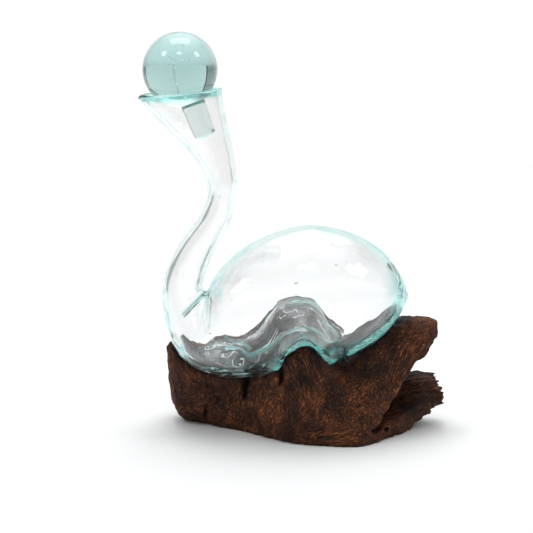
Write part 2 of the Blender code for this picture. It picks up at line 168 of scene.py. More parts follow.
# Bubbles in the vessel's wall, by ring and segment, with their radius, drawn out by a share of it.
VESSEL_SEEDS = (
    (120, 20, 0.5), (126, 22, 0.35), (138, 118, 0.6), (141, 121, 0.4), (150, 15, 0.45), (96, 12, 0.4),
    (88, 126, 0.5), (70, 130, 0.4), (60, 18, 0.35), (210, 40, 0.4), (226, 100, 0.35), (246, 30, 0.45),
    (110, 112, 0.45), (133, 108, 0.5), (52, 110, 0.4), (160, 104, 0.5),
)
SEED_STRETCH = 2.2
# Bubbles in the ball: a scatter of round ones, and drawn-out ones with centre, radius and stretch.
BALL_SEEDS = 26
BALL_STREAKS = (
    (-5, -9, 7, 0.45, 2.4, -2.4), (2, -12, 6, 0.5, 1.4, 0.2), (6, -8, 5, 0.35, 0.1, 1.6),
    (-3, 4, -2, 0.4, 0.6, -5.0), (-1, -3, -12, 0.5, -0.6, 4.0), (4, -6, -16, 0.6, 1.2, -1.5),
)

# ---- how fine the meshes are ----
VESSEL_RINGS = 300
BODY_RINGS, BODY_SHARE = 0.62, 0.464  # this share of the rings stands in this share of the stations
UNDERSIDE_CROWDING = 0.55
SIDE_THINNING = 0.4  # the blown wall is thinner at the vessel's sides by this share
TAIL_SKIP = 6  # the inside starts so many rings later, at a thicker tail
VESSEL_SEGMENTS = 144
BEAD_RINGS = 3  # the rim's bead swells over so many rings
RIM_STEPS = 10
# The tail's closing domes: height and rings.
OUTER_DOME, INNER_DOME = (0.9, 5), (0.6, 6)
BUBBLE_RINGS, BUBBLE_SEGMENTS = 5, 8
THREAD_STEPS, THREAD_SIDES = 26, 6  # for each turn of a thread, and round it
BALL_STEPS, PLUG_STEPS, STOPPER_SEGMENTS = 60, 8, 96
WOOD_VOXEL = 1.15

# ---- wood, in mm and degrees ----
SEAT_AIR = 0.35  # between glass and wood
SCORCH_REACH = 12.0  # wood nearer to the glass than this is darker
SEAT_REACH = 5.0  # wood nearer to the glass than this is laid against it
SEAT_SHARE = 0.35  # if it cuts the glass or is less free to bulge than this
# Grooves and finer ribs along the fibres: cell across, cell along, and how high they stand.
GROOVES, RIBS = (3.4, 26.0, 1.1), (1.9, 12.0, 0.5)
# The root's lumps: how long and how high each kind is.
LUMPS = ((21.0, 1.5), (9.0, 0.9))
# The lower flap's torn end: where it starts, how much of the flap it takes, and how high the flap reaches.
TORN_X, TORN_RANGE, FLAP_TOP = 74.0, 30.0, 46.0
TORN_DEPTH, TEETH_DEPTH = 3.0, 5.0
LOBE_X, LOBE_RANGE = 28.0, 8.0  # the charring widens over this range, towards the upper lobe
FREE_FROM, FREE_RANGE = 0.8, 4.0  # wood bulges from this far off the glass, and fully this much further
# The fixed directions that the fibres are blended from.
FIBRE_FRAMES = (15.0, 62.0, 112.0)
# Where the fibres run which way: x, z, angle.
FIBRE_FLOW = (
    (-105, 45, 100), (-90, 28, 25), (-66, 40, 112), (-52, 22, 62), (-34, 36, 62), (-18, 16, 40),
    (-4, 44, 116), (12, 40, 70), (34, 28, 78), (10, 4, 18), (40, 4, 14), (48, 30, 66),
    (62, 55, 58), (78, 72, 48), (96, 80, 35), (92, 18, 28), (110, 30, 30),
)
FLOW_REACH = 13.0
# Splits in the front, painted near black inside as shade: the line of each in x and z, its half width and its
# depth.
CRACKS = (
    (((-45.5, 54), (-47, 44), (-50, 29)), 3.4, 9.0),
    (((-18.5, 64), (-20, 46)), 2.2, 6.0),
    (((-80, 20), (-81, 6)), 1.8, 3.0),
    (((50, 10.5), (53.5, 8.5)), 2.4, 6.0),
    (((60.5, 9.5), (63, 8.0)), 2.4, 6.0),
)

# ---- stage and camera, in metres ----
FLOOR_REACH = 12.0
PANEL_Y, PANEL_LEFT, PANEL_RIGHT, PANEL_HEIGHT = 1.9, -1.44, 2.25, 1.6
PANEL_GLOW = 1.02
FLAG_WIDTH = 0.11
GLASS_BOUNCES = 64
ROOM_COLOUR, ROOM_GLOW = (0.97, 0.99, 1.0), 0.42
# The overhead diffuser: its centre, half its width, half its depth and its radiance.
DIFFUSER = ((0.0, 1.1, 1.75), 1.5, 2.3, 1.78)
# Soft boxes: name, place, the point that each faces, width, depth and radiance.
SOFT_BOXES = (
    ("top_box", (-0.1, 0.25, 1.45), (-0.1, 0.25, 0.0), 0.8, 0.6, 3.2),
    ("left_box", (-1.2, -0.5, 1.45), (0.0, 0.0, 0.15), 0.4, 0.4, 6.5),
    ("right_box", (1.15, -0.4, 1.4), (0.0, 0.0, 0.15), 0.4, 0.4, 6.5),
    ("front_box", (-0.1, -1.0, 1.7), (0.0, 0.0, 0.15), 0.4, 0.3, 6.5),
)
CAMERA_TARGET, CAMERA_DISTANCE = Vector((-0.0316, 0, 0.1324)), 1.3
CAMERA_ELEVATION = math.radians(10)
SENSOR_WIDTH = 36.0  # mm
HALF_VIEW = 0.16154  # tangent of half the camera's angle of view


# ---- curves and heights ----

def spline(points, t):
    """The Catmull-Rom curve through a row of points, at t from 0 to 1 along the row."""
    last = len(points) - 1
    at = min(max(t, 0.0), 1.0) * last
    i = min(int(at), last - 1)
    u = at - i
    before, a, b, after = (points[min(max(i + k, 0), last)] for k in (-1, 0, 1, 2))
    return tuple(
        0.5 * (2 * q + (r - p) * u + (2 * p - 5 * q + 4 * r - s) * u * u + (3 * q - p - 3 * r + s) * u ** 3)
        for p, q, r, s in zip(before, a, b, after)
    )


def profile(points, x):
    """The height at x on a smooth line through (x, z) points, level beyond its ends."""
    if x <= points[0][0]:
        return points[0][1]
    if x >= points[-1][0]:
        return points[-1][1]
    i = max(k for k in range(len(points) - 1) if points[k][0] <= x)
    (x0, z0), (x1, z1) = points[i], points[i + 1]
    before, after = points[max(i - 1, 0)], points[min(i + 2, len(points) - 1)]
    width = x1 - x0
    slope0 = (z1 - before[1]) / (x1 - before[0]) * width
    slope1 = (after[1] - z0) / (after[0] - x0) * width
    t = (x - x0) / width
    return (
        z0 * (1 + 2 * t) * (1 - t) ** 2 + z1 * t * t * (3 - 2 * t)
        + slope0 * t * (1 - t) ** 2 + slope1 * t * t * (t - 1)
    )


def smooth_step(t):
    """0 up to t = 0 and 1 from t = 1, with a smooth rise between."""
    t = min(max(t, 0.0), 1.0)
    return t * t * (3 - 2 * t)


def smooth_max(a, b, blend):
    """The larger of a and b, with a fillet where they are near each other."""
    h = max(blend - abs(a - b), 0.0) / blend
    return max(a, b) + h * h * blend / 4


def from_line(x, z, points):
    """How far (x, z) is from a line of points, and how far along it from 0 to 1."""
    best, place = 1e9, 0.0
    for i, ((x0, z0), (x1, z1)) in enumerate(zip(points, points[1:])):
        dx, dz = x1 - x0, z1 - z0
        t = min(max(((x - x0) * dx + (z - z0) * dz) / (dx * dx + dz * dz), 0.0), 1.0)
        distance = math.hypot(x - x0 - t * dx, z - z0 - t * dz)
        if distance < best:
            best, place = distance, (i + t) / (len(points) - 1)
    return best, place


def ridge(x, y):
    """Height of the root's ridge under the glass, in mm."""
    share = smooth_step((y - RIDGE_FRONT_Y) / (RIDGE_BACK_Y - RIDGE_FRONT_Y))
    front, back = profile(RIDGE_FRONT, x), profile(RIDGE_BACK, x)
    return front + (back - front) * share


# ---- pieces ----

def place_piece(name, mesh, material, body, node):
    """A smooth piece with a finished mesh, which rides on a body and stands for a CAD node."""
    mesh.materials.clear()
    mesh.materials.append(material)
    mesh.shade_smooth()
    piece = bpy.data.objects.new(name, mesh)
    bpy.context.scene.collection.objects.link(piece)
    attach(piece, body)
    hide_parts(node)
    return piece


def new_piece(name, points, faces, material, body, node):
    """A piece as in place_piece, from points in mm and faces."""
    mesh = bpy.data.meshes.new(name)
    mesh.from_pydata([p * MM for p in points], [], faces)
    bm = bmesh.new()
    bm.from_mesh(mesh)
    bmesh.ops.recalc_face_normals(bm, faces=bm.faces)
    bm.to_mesh(mesh)
    bm.free()
    return place_piece(name, mesh, material, body, node)


def tube_faces(rings, segments):
    """Quads between successive rings of points, which follow each other in one list."""
    return [
        (r * segments + s, r * segments + (s + 1) % segments,
         (r + 1) * segments + (s + 1) % segments, (r + 1) * segments + s)
        for r in range(rings - 1)
        for s in range(segments)
    ]


def paint(piece, name, values):
    """A value for each of a piece's points, which its material reads by name."""
    piece.data.attributes.new(name, "FLOAT", "POINT").data.foreach_set("value", values)


# ---- material nodes ----

def node_material(name):
    """A new material, its node tree, its Principled shader and its output node."""
    material = bpy.data.materials.new(name)
    material.use_nodes = True
    tree = material.node_tree
    return material, tree, tree.nodes["Principled BSDF"], tree.nodes["Material Output"]


def set_values(node, values):
    """Sets a node's inputs by name."""
    for name, value in values.items():
        node.inputs[name].default_value = value


def attribute_node(tree, name):
    """A node that reads what paint or make_root has stored at the points."""
    node = tree.nodes.new("ShaderNodeAttribute")
    node.attribute_name = name
    return node


def math_node(tree, operation, a, b=None):
    """A Math node's output for inputs that are sockets or numbers."""
    node = tree.nodes.new("ShaderNodeMath")
    node.operation = operation
    for socket, value in zip(node.inputs, (a, b)):
        if isinstance(value, (int, float)):
            socket.default_value = value
        elif value is not None:
            tree.links.new(value, socket)
    return node.outputs[0]


def weighted_sum(tree, a, a_weight, b, b_weight):
    """The sum of two sockets, each multiplied by its weight."""
    weighted_a = math_node(tree, "MULTIPLY", a, a_weight)
    return math_node(tree, "ADD", weighted_a, math_node(tree, "MULTIPLY", b, b_weight))


def noise_node(tree, vector, scale, detail, roughness=0.5):
    """A Noise texture's output at a vector, from 0 to 1."""
    node = tree.nodes.new("ShaderNodeTexNoise")
    set_values(node, {"Scale": scale, "Detail": detail, "Roughness": roughness})
    tree.links.new(vector, node.inputs["Vector"])
    return node.outputs["Fac"]


def ramp_node(tree, factor, stops):
    """A colour ramp's output; stops are (position, colour)."""
    node = tree.nodes.new("ShaderNodeValToRGB")
    elements = node.color_ramp.elements
    while len(elements) < len(stops):
        elements.new(0.5)
    for element, (position, colour) in zip(elements, stops):
        element.position = position
        element.color = (*colour, 1)
    tree.links.new(factor, node.inputs["Fac"])
    return node.outputs["Color"]


def mix_node(tree, factor, a, b, blend="MIX"):
    """A colour Mix node's output; a and b are sockets or colours."""
    node = tree.nodes.new("ShaderNodeMix")
    node.data_type = "RGBA"
    node.blend_type = blend
    for socket, value in ((node.inputs["Factor"], factor), (node.inputs["A"], a), (node.inputs["B"], b)):
        if isinstance(value, tuple):
            socket.default_value = (*value, 1)
        elif isinstance(value, (int, float)):
            socket.default_value = value
        else:
            tree.links.new(value, socket)
    return node.outputs["Result"]


# ---- glass ----

def pooled_glass(tree, shader):
    """Glass that is greener and cloudier, and has a painted glow, where its points say so, and green at its
    edges.
    """
    tint = attribute_node(tree, "tint").outputs["Fac"]
    cloud = attribute_node(tree, "cloud").outputs["Fac"]
    grazing = tree.nodes.new("ShaderNodeLayerWeight")
    grazing.inputs["Blend"].default_value = 0.5
    edge = tree.nodes.new("ShaderNodeMapRange")
    edge.interpolation_type = "SMOOTHSTEP"
    set_values(edge, {"From Min": EDGE_FROM, "From Max": EDGE_TO})
    tree.links.new(grazing.outputs["Facing"], edge.inputs["Value"])
    green = math_node(tree, "MULTIPLY", edge.outputs["Result"], attribute_node(tree, "edge").outputs["Fac"])
    colour = mix_node(tree, math_node(tree, "MAXIMUM", tint, green), CLEAR_TINT, POOLED_TINT)
    tree.links.new(colour, shader.inputs["Base Color"])
    tree.links.new(math_node(tree, "SUBTRACT", 1.0, cloud), shader.inputs["Transmission Weight"])
    # A painted glow where the points say so, standing in for light gathered by total reflection.
    shader.inputs["Emission Color"].default_value = (*PAINTED_GLOW_COLOUR, 1)
    tree.links.new(attribute_node(tree, "painted_glow").outputs["Fac"], shader.inputs["Emission Strength"])


def glass(name, absorption, density):
    """Recycled glass, tinted where light goes a long way through it and where pooled_glass says."""
    material, tree, shader, output = node_material(name)
    set_values(shader, {
        "Base Color": (1, 1, 1, 1),
        "Roughness": 0.0,
        "IOR": GLASS_IOR,
        "Transmission Weight": 1.0,
    })
    volume = tree.nodes.new("ShaderNodeVolumeAbsorption")
    set_values(volume, {"Color": (*absorption, 1), "Density": density})
    tree.links.new(volume.outputs["Volume"], output.inputs["Volume"])
    pooled_glass(tree, shader)
    return material


def bubble(centre, radius, stretch):
    """A seed of trapped air in the glass: points and faces, which point into the bubble."""
    rings, segments = BUBBLE_RINGS, BUBBLE_SEGMENTS
    long_axis = stretch.normalized() if stretch.length else Vector((0, 0, 1))
    points = [centre + long_axis * (radius + stretch.length)]
    for r in range(1, rings):
        polar = math.pi * r / rings
        for s in range(segments):
            turn = 2 * math.pi * s / segments
            side = Vector((math.cos(turn), math.sin(turn), 0)) * radius * math.sin(polar)
            side.rotate(long_axis.to_track_quat("Z", "Y"))
            points.append(centre + side + long_axis * (radius + stretch.length) * math.cos(polar))
    points.append(centre - long_axis * (radius + stretch.length))
    last = len(points) - 1
    faces = []
    for s in range(segments):
        n = (s + 1) % segments
        faces.append((0, 1 + n, 1 + s))
        faces.append((last, last - segments + s, last - segments + n))
        for r in range(rings - 2):
            a, b = 1 + r * segments, 1 + (r + 1) * segments
            faces.append((a + s, a + n, b + n, b + s))
    return points, faces


def add_hollows(piece, hollows, cloud, painted_glow):
    """Cuts closed hollows of trapped air, as cloudy and with as much painted glow as given, into a finished
    glass piece.
    """
    bm = bmesh.new()
    bm.from_mesh(piece.data)
    silver, painted_glow_layer = bm.verts.layers.float["cloud"], bm.verts.layers.float["painted_glow"]
    for points, faces in hollows:
        verts = [bm.verts.new(p * MM) for p in points]
        for vert in verts:
            vert[silver] = cloud
            vert[painted_glow_layer] = painted_glow
        for face in faces:
            bm.faces.new([verts[i] for i in face]).smooth = True
    bm.to_mesh(piece.data)
    bm.free()


# ---- vessel ----

def vessel_ring(t, segments):
    """One free-blown ring, before it meets the root: its points, and the wall at each.

    The points lie closest together at the underside, where the glass is wrinkled.
    """
    back_x, back_z, front_x, front_z, depth, lean, back_wall, front_wall = spline(VESSEL_STATIONS, t)
    points, walls = [], []
    for s in range(segments):
        turn = 2 * math.pi * s / segments
        angle = turn + UNDERSIDE_CROWDING * math.sin(turn)
        along = -math.cos(angle)
        share = (along + 1) / 2
        points.append(Vector((
            back_x + (front_x - back_x) * share,
            depth * math.sin(angle) * (1 + lean * along),
            back_z + (front_z - back_z) * share,
        )))
        walls.append(back_wall + (front_wall - back_wall) * share)
    return points, walls


def outward_normals(rings):
    """The surface's outward direction at each point of a grid of rings."""
    normals = []
    for r, ring in enumerate(rings):
        before, after = rings[max(r - 1, 0)], rings[min(r + 1, len(rings) - 1)]
        centre = sum(ring, Vector()) / len(ring)
        row = []
        for s, point in enumerate(ring):
            along = after[s] - before[s]
            around = ring[(s + 1) % len(ring)] - ring[s - 1]
            normal = along.cross(around).normalized()
            if normal.dot(point - centre) < 0:
                normal.negate()
            row.append(normal)
        normals.append(row)
    return normals


def ring_place(r):
    """Where ring r stands from tail (0) to mouth (1): the body has most of the rings."""
    share = r / (VESSEL_RINGS - 1)
    if share < BODY_RINGS:
        return share / BODY_RINGS * BODY_SHARE
    return BODY_SHARE + (share - BODY_RINGS) / (1 - BODY_RINGS) * (1 - BODY_SHARE)


def settle(point, lift):
    """A point of the glass after it has slumped over the ridge; lift is the glass under it."""
    height = smooth_max(point.z, ridge(point.x, point.y) + lift, RIDGE_BLEND)
    return Vector((point.x, point.y, height))


def dome(ring, height, steps):
    """Rings that close a ring with a shallow dome towards +X, and its pole."""
    centre = sum(ring, Vector()) / len(ring)
    rings = []
    for k in range(1, steps):
        angle = math.pi / 2 * k / steps
        rings.append([
            centre + (p - centre) * math.cos(angle) + Vector((height * math.sin(angle), 0, 0)) for p in ring
        ])
    return rings, centre + Vector((height, 0, 0))


def rim_rings(outer, inner):
    """Rings that carry the wall over the rim, from the outside to the inside."""
    rings = []
    for k in range(1, RIM_STEPS):
        angle = math.pi * k / RIM_STEPS
        across = (1 - math.cos(angle)) / 2
        rings.append([
            a.lerp(b, across) + Vector((0, 0, (a - b).length * RIM_CROWN * math.sin(angle)))
            for a, b in zip(outer, inner)
        ])
    return rings


def floor_wall(y):
    """How thick the glass is over the ridge, which is most at the front."""
    share = smooth_step((FLOOR_WALL_Y - y) / FLOOR_WALL_CHANGE)
    return FLOOR_WALL_BACK + (FLOOR_WALL_FRONT - FLOOR_WALL_BACK) * share


def bedding(p, free_z):
    """How far the glass at a point has slumped onto the root, from 0 to 1; free_z is where it lay before."""
    return smooth_step((ridge(p.x, p.y) - free_z + BED_FROM) / BED_RANGE)


def wrinkle(p, free_z):
    """How far the underside has wrinkled up at a point that lay at free_z before it slumped."""
    slumped = bedding(p, free_z)
    bedded = slumped + LOW_SHARE * smooth_step((LOW_GLASS - p.z) / LOW_RANGE) * (1 - slumped)
    folds = 0.5 + noise.noise(Vector([c / cell for c, cell in zip(p, WRINKLE_CELL)]))
    return bedded * (WRINKLE_HEIGHT * folds + CRINKLE_HEIGHT * noise.noise(p / CRINKLE_CELL))


def floor_fold(p):
    """How near a point of the floor is to a long fold's crest, from 0 to 1, and how high it stands there."""
    share, height = 0.0, 0.0
    for points, half_width, rise in FLOOR_FOLDS:
        distance, place = from_line(p.x + noise.noise(p / 6.0) * 1.5, p.y, points)
        crest = math.exp(-(distance / half_width) ** 2) * smooth_step(math.sin(math.pi * place) * 4)
        share, height = max(share, crest), max(height, rise * crest)
    return share, height


def drip(p):
    """How the glass hangs over the root's front edge in thick drops: the way a point is drawn out."""
    moved = Vector()
    for centre, reach, fall in DRIPS:
        near = math.exp(-((p - Vector(centre)).length / reach) ** 2)
        moved += Vector((0, -0.45, -0.9)) * fall * near
    return moved


def pooled_share(p):
    """How strongly a point of the outside is coloured by the glass pooled along the root's front edge."""
    distance, place = from_line(p.x, p.z, POOL_LINE)
    width = POOL_WIDTH_LEFT + (POOL_WIDTH_RIGHT - POOL_WIDTH_LEFT) * place
    return math.exp(-(distance / width) ** 2) * smooth_step((-p.y - 8.0) / 10.0)


def fold(p):
    """Depth of the fold that the neck's bend has pressed into the breast's front side."""
    distance, _ = from_line(p.x, p.z, FOLD_LINE)
    return FOLD_DEPTH * math.exp(-(distance / FOLD_HALF_WIDTH) ** 2) * smooth_step(-p.y / 6.0)


def wall_wave(p):
    """How much thicker than even the wall is at a point of the free-blown glass."""
    return sum(noise.noise(p / size) * height for size, height in WALL_WAVES)


def vessel_surfaces():
    """The outside and the inside of the vessel, as rings from the tail to the mouth."""
    free, walls = [], []
    for r in range(VESSEL_RINGS):
        points, wall = vessel_ring(ring_place(r), VESSEL_SEGMENTS)
        free.append(points)
        walls.append(wall)
    outside, inside = [], []
    for r, (ring, row, wall) in enumerate(zip(free, outward_normals(free), walls)):
        bead = RIM_BEAD * smooth_step((r - VESSEL_RINGS + 1 + BEAD_RINGS) / BEAD_RINGS)
        outer, inner = [], []
        for p, n, w in zip(ring, row, wall):
            pressed = settle(p - n * fold(p), 0.0)
            pressed.z += wrinkle(pressed, p.z)
            pressed += drip(pressed)
            outer.append(pressed + n * bead)
            wave = wall_wave(p)
            thin = SIDE_THINNING * w * n.y * n.y
            above = settle(p - n * (w - thin + wave), floor_wall(p.y) + wave)
            if n.z < 0 and p.z < FOLDS_BELOW:
                above.z += floor_fold(above)[1] * -n.z
            inner.append(above)
        outside.append(outer)
        inside.append(inner)
    return outside, inside


def inside_look(p):
    """How green and how cloudy the inside is at a point, which it is only along the floor's folds."""
    over_root = p.z - ridge(p.x, p.y)
    if over_root >= floor_wall(p.y) + FLOOR_MARGIN or p.z >= FOLDS_BELOW:
        return 0.0, 0.0
    crest, _ = floor_fold(p)
    return crest, FOLD_CLOUD * crest


def outside_look(p):
    """How green and how cloudy the outside is at a point: in drips, pooled glass and the neck's fold."""
    drop = max(math.exp(-((p - Vector(centre)).length / reach) ** 2) for centre, reach, _ in DRIPS)
    streak = noise.noise(Vector([c / cell for c, cell in zip(p, STREAK_CELL)]))
    belt = pooled_share(p) * (0.8 + 0.6 * streak)
    crease = fold(p) / FOLD_DEPTH
    cloud = max(DRIP_CLOUD * max(drop, crease), POOL_CLOUD * belt * smooth_step(streak * 4.0))
    return min(max(drop, belt, crease), 1.0), cloud


def edge_green(p):
    """How green the glass looks where it is seen edge on: more to the tail, and little in the seat."""
    in_seat = smooth_step((105.0 - p.z) / 25.0) * (1 - smooth_step((p.x + 30.0) / 25.0))
    green = EDGE_GREEN + EDGE_TAIL_MORE * smooth_step((p.x + 20.0) / 50.0)
    return green * (1 - EDGE_SEAT_LESS * in_seat)


def paint_vessel(vessel, rings, inner_from, mouth):
    """Stores the vessel's looks; ring inner_from is the inside's first, and ring mouth the rim's middle."""
    tints, clouds, edges = [], [], []
    for k, ring in enumerate(rings):
        rim = 1 - smooth_step((abs(k - mouth) - RIM_TINT_RINGS) / 4.0)
        look = inside_look if k >= inner_from else outside_look
        for p in ring:
            pooled, cloud = look(p)
            tail = TAIL_TINT * smooth_step((p.x - TAIL_X) / TAIL_RANGE)
            tints.append(max(RIM_TINT * rim, pooled, tail))
            clouds.append(cloud)
            edges.append(edge_green(p))
    poles = [0.0, 0.0]
    for name, values in (("tint", tints), ("cloud", clouds), ("edge", edges), ("painted_glow", [0.0] * len(tints))):
        paint(vessel, name, values + poles)


def thread_path(middle_x, middle_y, reach, turns, floor_tree):
    """An uneven curl which drifts to one side, laid into the floor's glass as far as there is a floor."""
    steps = int(THREAD_STEPS * turns)
    path = []
    for i in range(steps + 1):
        t = i / steps
        angle = 2 * math.pi * turns * t + middle_x
        swing = reach * (0.45 + 0.4 * math.sin(5.1 * t + middle_y))
        x = middle_x + swing * math.cos(angle) + reach * THREAD_DRIFT * (t - 0.5)
        y = middle_y + swing * math.sin(angle) + reach * 0.5 * math.sin(2.9 * t + middle_x)
        stray_at = Vector((4.5 * turns * t, middle_x + 0.4, middle_y + 0.7))
        x += noise.noise(stray_at) * reach * THREAD_STRAY
        y += noise.noise(-stray_at) * reach * THREAD_STRAY
        over = Vector((x, y, ridge(x, y) + THREAD_CLIMB))
        floor, _, _, _ = floor_tree.ray_cast(over, Vector((0, 0, -1)))
        if floor:
            path.append(floor - Vector((0, 0, THREAD_DEPTH)))
    return path


def air_thread(path):
    """A thin tube of air along a path: points and faces, which point into the air."""
    sides, steps = THREAD_SIDES, len(path) - 1
    points, faces = [path[0]], []
    for i in range(1, steps):
        along = (path[i + 1] - path[i - 1]).normalized()
        turn = along.to_track_quat("Z", "Y")
        radius = THREAD_RADIUS * min(1.0, 0.3 + 0.2 * min(i, steps - i))
        for k in range(sides):
            a = 2 * math.pi * k / sides
            points.append(path[i] + turn @ Vector((math.cos(a) * radius, math.sin(a) * radius, 0)))
    points.append(path[-1])
    last = len(points) - 1
    for k in range(sides):
        n = (k + 1) % sides
        faces.append((0, 1 + k, 1 + n))
        faces.append((last, last - sides + n, last - sides + k))
        for i in range(steps - 2):
            a = 1 + i * sides
            faces.append((a + k, a + sides + k, a + sides + n, a + n))
    return points, faces


def make_vessel(material):
    """The vessel as one closed wall with its trapped air; returns the rings of its outside."""
    outside, inside = vessel_surfaces()
    inside = inside[TAIL_SKIP:]
    outer_dome, outer_pole = dome(outside[0], *OUTER_DOME)
    inner_dome, inner_pole = dome(inside[0], *INNER_DOME)
    outer_rings = outer_dome[::-1] + outside
    rim = rim_rings(outside[-1], inside[-1])
    rings = outer_rings + rim + inside[::-1] + inner_dome
    points = [p for ring in rings for p in ring] + [outer_pole, inner_pole]
    faces = tube_faces(len(rings), VESSEL_SEGMENTS)
    last = (len(rings) - 1) * VESSEL_SEGMENTS
    outer_at, inner_at = len(points) - 2, len(points) - 1
    for s in range(VESSEL_SEGMENTS):
        n = (s + 1) % VESSEL_SEGMENTS
        faces.append((outer_at, n, s))
        faces.append((inner_at, last + s, last + n))
    vessel = new_piece("swan_vessel", points, faces, material, "vessel", "glass_vessel")
    paint_vessel(vessel, rings, len(outer_rings) + len(rim), len(outer_rings) + len(rim) // 2)
    seeds = []
    for r, s, radius in VESSEL_SEEDS:
        middle = outside[r][s].lerp(inside[r - TAIL_SKIP][s], 0.5)
        drawn = (outside[r + 1][s] - outside[r - 1][s]).normalized() * radius * SEED_STRETCH
        seeds.append(bubble(middle, radius, drawn))
    inside_points = [p for ring in inside for p in ring]
    floor_tree = BVHTree.FromPolygons(inside_points, tube_faces(len(inside), VESSEL_SEGMENTS))
    add_hollows(vessel, seeds, 0.0, 0.0)
    threads = [air_thread(thread_path(*thread, floor_tree)) for thread in THREADS]
    # The threads are painted milky white and glowing: a painted glint.
    add_hollows(vessel, threads, THREAD_PAINTED_GLINT, THREAD_PAINTED_GLOW)
    return outside


# ---- stopper ----

def stopper_outline():
    """Half of the stopper's section as (radius, height) from the ball's top to the plug's flat end."""
    neck_angle = math.asin(PLUG_ROOT_RADIUS / BALL_RADIUS)
    outline = []
    for i in range(1, BALL_STEPS + 1):
        angle = (math.pi - neck_angle) * i / BALL_STEPS
        outline.append((BALL_RADIUS * math.sin(angle), BALL_RADIUS * math.cos(angle)))
    plug_root = outline[-1][1]
    for i in range(1, PLUG_STEPS + 1):
        share = i / PLUG_STEPS
        radius = PLUG_ROOT_RADIUS + (PLUG_TIP_RADIUS - PLUG_ROOT_RADIUS) * share
        outline.append((radius, plug_root + (PLUG_EDGE - PLUG_TIP_DISTANCE - plug_root) * share))
    bevel_foot = PLUG_TIP_RADIUS - PLUG_EDGE
    outline.append((PLUG_TIP_RADIUS - EDGE_HOLD, PLUG_EDGE - EDGE_HOLD - PLUG_TIP_DISTANCE))
    outline.append((bevel_foot + EDGE_HOLD, EDGE_HOLD - PLUG_TIP_DISTANCE))
    outline.append((bevel_foot, -PLUG_TIP_DISTANCE))
    outline.append((bevel_foot - EDGE_HOLD, -PLUG_TIP_DISTANCE))
    return outline


def on_stopper(x, y, z):
    """A point given along and across the stopper's own leaning axis."""
    cosine, sine = math.cos(STOPPER_TILT), math.sin(STOPPER_TILT)
    return BALL_CENTRE + Vector((x * cosine - z * sine, y, x * sine + z * cosine))


def ball_bubbles():
    """The scatter of round bubbles in the ball, by a fixed rule, and the drawn-out ones."""
    seeds = []
    for k in range(BALL_SEEDS):
        around = Vector((math.sin(k * 2.4), math.cos(k * 3.1), math.sin(k * 1.3)))
        reach = BALL_RADIUS * (0.15 + 0.6 * ((k * 0.618) % 1.0))
        radius = 0.28 + 0.25 * ((k * 0.37) % 1.0)
        seeds.append(bubble(BALL_CENTRE + around.normalized() * reach, radius, Vector()))
    for x, y, z, radius, dx, dz in BALL_STREAKS:
        seeds.append(bubble(BALL_CENTRE + Vector((x, y, z)), radius, Vector((dx, 0, dz))))
    return seeds


def make_stopper(material):
    """The ball and its plug, turned round the stopper's leaning axis."""
    outline = stopper_outline()
    segments = STOPPER_SEGMENTS
    points = []
    for r, z in outline:
        for s in range(segments):
            a = 2 * math.pi * s / segments
            points.append(on_stopper(r * math.cos(a), r * math.sin(a), z))
    faces = tube_faces(len(outline), segments)
    top, bottom = len(points), len(points) + 1
    points += [on_stopper(0, 0, BALL_RADIUS), on_stopper(0, 0, -PLUG_TIP_DISTANCE)]
    last = (len(outline) - 1) * segments
    for s in range(segments):
        n = (s + 1) % segments
        faces.append((top, n, s))
        faces.append((bottom, last + s, last + n))
    stopper = new_piece("ball_and_plug", points, faces, material, "stopper", "ball_stopper")
    bevel = range((len(outline) - 4) * segments, (len(outline) - 2) * segments)
    # Painted highlight: the bevel is made milky, green and glowing.
    for name, value in (("cloud", BEVEL_HIGHLIGHT_CLOUD), ("tint", BEVEL_HIGHLIGHT_TINT), ("painted_glow", BEVEL_PAINTED_GLOW)):
        paint(stopper, name, [value if k in bevel else 0.0 for k in range(len(points))])
    add_hollows(stopper, ball_bubbles(), 0.0, 0.0)


# ---- root ----

def flow_angle(x, z):
    """Which way the fibres run at a place of the root, as an angle from +X towards +Z."""
    cosine, sine = 0.0, 0.0
    for at_x, at_z, degrees in FIBRE_FLOW:
        weight = math.exp(-((x - at_x) ** 2 + (z - at_z) ** 2) / (2 * FLOW_REACH ** 2))
        cosine += weight * math.cos(math.radians(2 * degrees))
        sine += weight * math.sin(math.radians(2 * degrees))
    return math.atan2(sine, cosine) / 2


def frame_weights(angle):
    """How much each of the fixed fibre directions counts for a fibre angle; the sum is 1."""
    weights = [abs(math.cos(angle - math.radians(a))) ** 10 for a in FIBRE_FRAMES]
    total = sum(weights)
    return [w / total for w in weights]


def fibre_noise(p, weights, across, along):
    """Noise drawn out along the fibres, from -1 to 1; its cells are so many mm across and along."""
    total, power = 0.0, 0.0
    for degrees, weight in zip(FIBRE_FRAMES, weights):
        power += weight * weight
        if weight < 0.02:
            continue
        c, s = math.cos(math.radians(degrees)), math.sin(math.radians(degrees))
        u, v = p.x * c + p.z * s, p.z * c - p.x * s
        total += weight * noise.noise(Vector((v / across, p.y / across + degrees, u / along)))
    return total / math.sqrt(power)


def crack_depth(p):
    """How deep the root's front is split at a point, in mm, and how much painted shade darkens it there, from
    0 to 1.
    """
    depth, dark = 0.0, 0.0
    for points, half_width, most in CRACKS:
        distance, place = from_line(p.x + noise.noise(p / 4.0) * 1.2, p.z, points)
        share = 1 - smooth_step(distance / (half_width * (0.5 + math.sin(math.pi * place) * 0.8)))
        if most * share > depth:
            depth, dark = most * share, share
    return depth, dark


